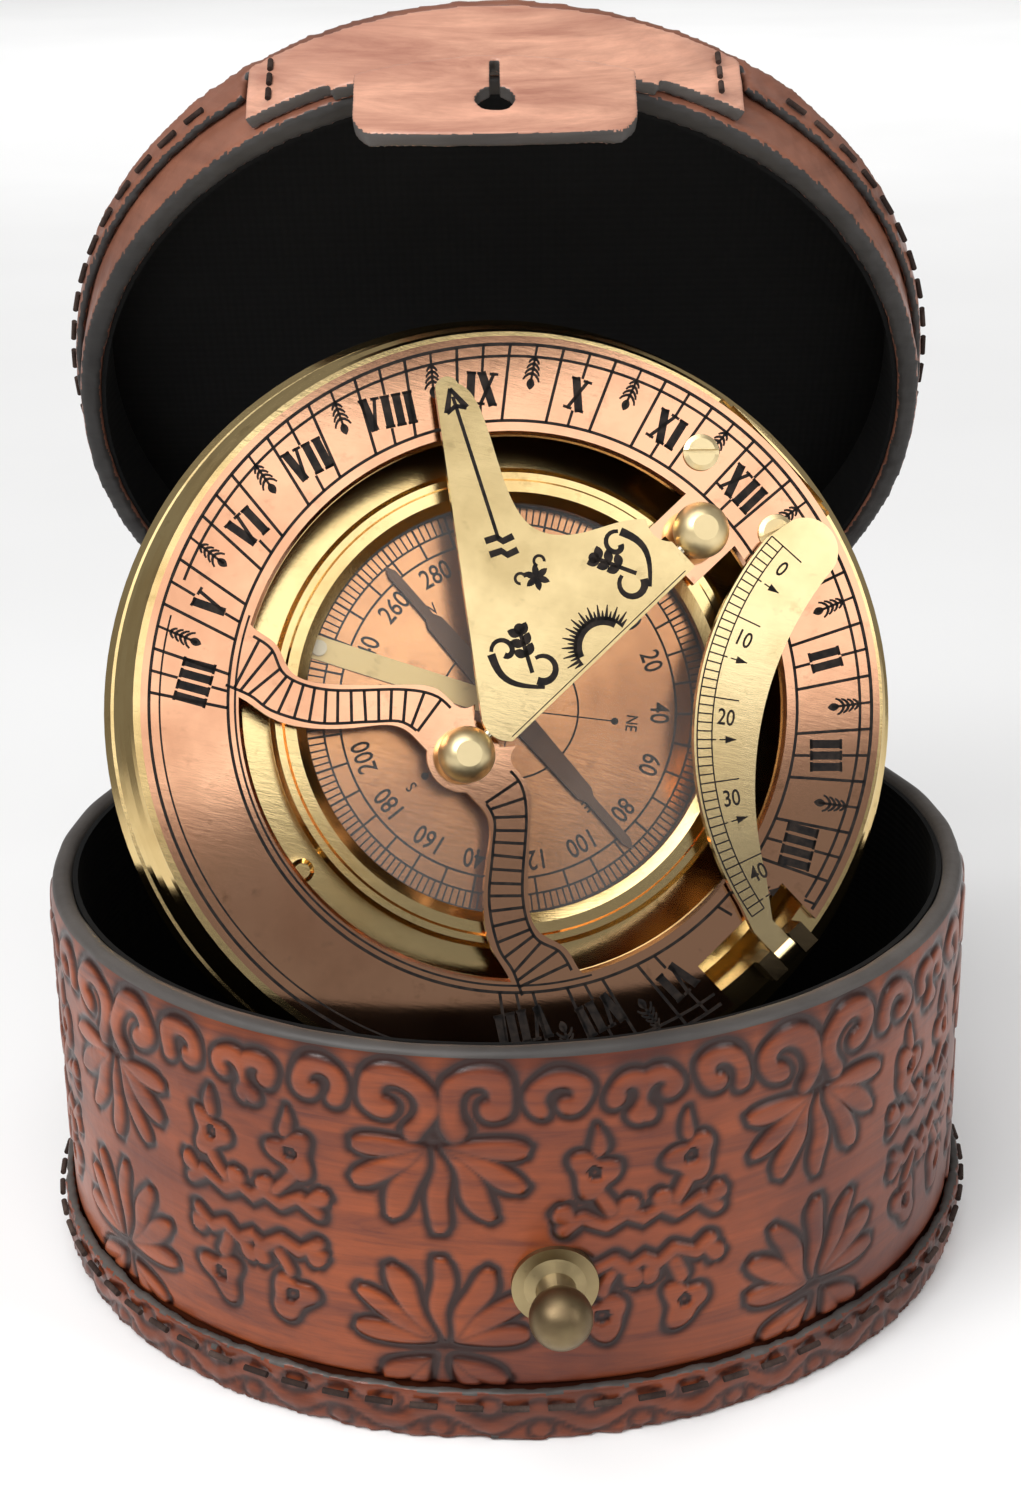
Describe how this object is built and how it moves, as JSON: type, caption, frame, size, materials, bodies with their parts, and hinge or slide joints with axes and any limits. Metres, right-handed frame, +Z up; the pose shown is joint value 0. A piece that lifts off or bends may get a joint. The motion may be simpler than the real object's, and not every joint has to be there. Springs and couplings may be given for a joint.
{
  "type": "folding inclining sundial compass in a leather case",
  "caption": "Brass hour plate, folding gnomon and latitude arc hinged on a dish holding a compass, standing in a round leather case with a strip-hinged lid.",
  "frame": {"origin": "on the ground under the middle of the round case base", "axes": "+Z up, front with the closure stud towards -Y, lid hinge at +Y"},
  "size_m": [0.116, 0.1498, 0.1449],
  "materials": {
    "embossed_leather": "embossed reddish brown leather, darker in the recesses",
    "smooth_leather": "smooth worn dark brown leather",
    "black_cloth": "black cloth lining",
    "board": "pressed paper board",
    "thread": "waxed dark thread",
    "aged_brass": "aged brass",
    "polished_brass": "polished engraved brass",
    "copper_toned_brass": "engraved, reddish gilt brass",
    "hinge_brass": "plain brass",
    "steel": "turned steel",
    "blued_steel": "dark blued steel",
    "glass": "clear flat crystal",
    "gasket": "dark soft ring"
  },
  "bodies": {
    "case_base": {"base_wall": "embossed_leather", "base_lining": "black_cloth", "bottom_pan": "smooth_leather", "bottom_board": "board", "floor_lining": "black_cloth", "bottom_stitches": "thread", "stud_washer": "aged_brass", "closure_stud": "aged_brass", "stud_rivet_cap": "aged_brass", "hinge_strip_lower": "smooth_leather", "strip_stitches_lower": "thread"},
    "hinge_strip": {"hinge_strip_middle": "smooth_leather"},
    "lid": {"lid_wall": "smooth_leather", "lid_lining": "black_cloth", "lid_pan": "smooth_leather", "lid_top_lining": "black_cloth", "lid_stitches": "thread", "closure_tab": "smooth_leather", "tab_stitches": "thread", "hinge_strip_upper": "smooth_leather", "strip_stitches_upper": "thread"},
    "tongue": {"closure_tongue": "smooth_leather"},
    "instrument": {"base_dish": "polished_brass", "bowl_screws": "steel", "compass_bowl": "polished_brass", "compass_card": "copper_toned_brass", "pivot_pin": "steel", "lifter_screw": "steel", "crystal": "glass", "crystal_gasket": "gasket", "crystal_bezel": "polished_brass", "plate_rest_post": "polished_brass", "hinge_base_leaf": "hinge_brass", "hinge_pin": "steel", "arc_lugs": "polished_brass", "arc_pin": "steel"},
    "dial": {"hour_plate": "copper_toned_brass", "hinge_plate_leaf": "hinge_brass", "hinge_screws": "steel", "dial_centre_post": "polished_brass", "twelve_post": "polished_brass"},
    "gnomon_leaf": {"gnomon": "polished_brass", "gnomon_pins": "steel"},
    "arc": {"latitude_arc": "polished_brass"},
    "needle": {"compass_needle": "blued_steel", "needle_cap": "hinge_brass"},
    "lifter": {"needle_lifter": "hinge_brass"}
  },
  "joints": [
    {"name": "lid_hinge", "type": "hinge", "parent": "case_base", "child": "hinge_strip", "pos_m": [0, 0.0575, 0.03], "axis": [-1, 0, 0], "range_deg": [-60, 0]},
    {"name": "lid_opens_further", "type": "hinge", "parent": "hinge_strip", "child": "lid", "pos_m": [0, 0.07235, 0.03857], "axis": [-1, 0, 0], "range_deg": [0, 40]},
    {"name": "tongue_flex", "type": "hinge", "parent": "lid", "child": "tongue", "pos_m": [0, 0.01465, 0.13851], "axis": [-1, 0, 0], "range_deg": [0, 35]},
    {"name": "instrument_lie_down", "type": "hinge", "parent": "case_base", "child": "instrument", "pos_m": [0.00516, -0.04205, 0.03901], "axis": [0.9925, 0.1219, 0], "range_deg": [-67, 0]},
    {"name": "latitude_arc_hinge", "type": "hinge", "parent": "instrument", "child": "arc", "pos_m": [0.03235, -0.02114, 0.04117], "axis": [0.7285, 0.343, 0.5929], "range_deg": [0, 90]},
    {"name": "hour_plate_hinge", "type": "hinge", "parent": "instrument", "child": "dial", "pos_m": [0.0319, 0.00632, 0.09245], "axis": [-0.6757, 0.2182, 0.7041], "range_deg": [0, 15]},
    {"name": "gnomon_hinge", "type": "hinge", "parent": "dial", "child": "gnomon_leaf", "pos_m": [0.00907, -0.0111, 0.07594], "axis": [0.7285, 0.343, 0.5929], "range_deg": [0, 90]},
    {"name": "needle_spin", "type": "hinge", "parent": "instrument", "child": "needle", "pos_m": [0.00063, -0.00512, 0.06598], "axis": [0.1122, -0.9136, 0.3907], "continuous": true},
    {"name": "lifter_hinge", "type": "hinge", "parent": "instrument", "child": "lifter", "pos_m": [-0.02191, -0.00404, 0.07358], "axis": [-0.3096, -0.4058, -0.8599], "range_deg": [0, 0.7]}
  ],
  "couplings": [
    {"joint": "instrument_lie_down", "follows": "lid_hinge", "ratio": 1.1167},
    {"joint": "hour_plate_hinge", "follows": "latitude_arc_hinge", "ratio": 0.16667}
  ]
}
